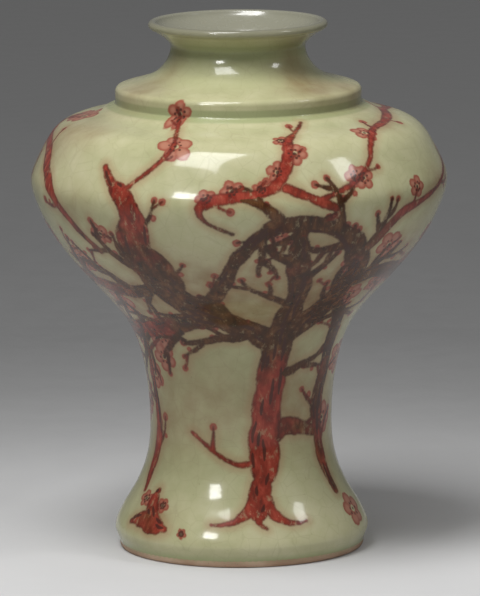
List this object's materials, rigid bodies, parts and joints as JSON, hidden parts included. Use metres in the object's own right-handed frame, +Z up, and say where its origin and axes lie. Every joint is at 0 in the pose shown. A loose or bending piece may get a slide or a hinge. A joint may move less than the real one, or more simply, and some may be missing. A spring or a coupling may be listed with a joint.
{
  "type": "meiping vase",
  "caption": "Tall baluster vase with broad shoulder, stepped collar, everted mouth, narrow waist and splayed foot; celadon glaze over copper-red painting.",
  "frame": {"origin": "centre of the foot ring, on the plane that the vase stands on", "axes": "+Z up along the vase's axis of revolution, -Y towards the camera of the picture, +X to its right"},
  "size_m": [0.2576, 0.2576, 0.3289],
  "materials": {
    "body_clay": "unglazed, fired clay with a fine grain",
    "luting_slip": "unglazed, smooth fired slip",
    "celadon_glaze": "glossy celadon over copper-red and iron painting",
    "inner_glaze": "glossy, pale grey-green",
    "base_glaze": "glossy, thin and uneven"
  },
  "bodies": {
    "root": {"foot_section": "body_clay", "lower_body_section": "body_clay", "shoulder_section": "body_clay", "neck_section": "body_clay", "base_disc": "body_clay", "waist_slip_joint": "luting_slip", "girth_slip_joint": "luting_slip", "collar_slip_joint": "luting_slip", "base_slip_joint": "luting_slip", "celadon_coat": "celadon_glaze", "inner_glaze_coat": "inner_glaze", "base_glaze_coat": "base_glaze"}
  },
  "joints": []
}
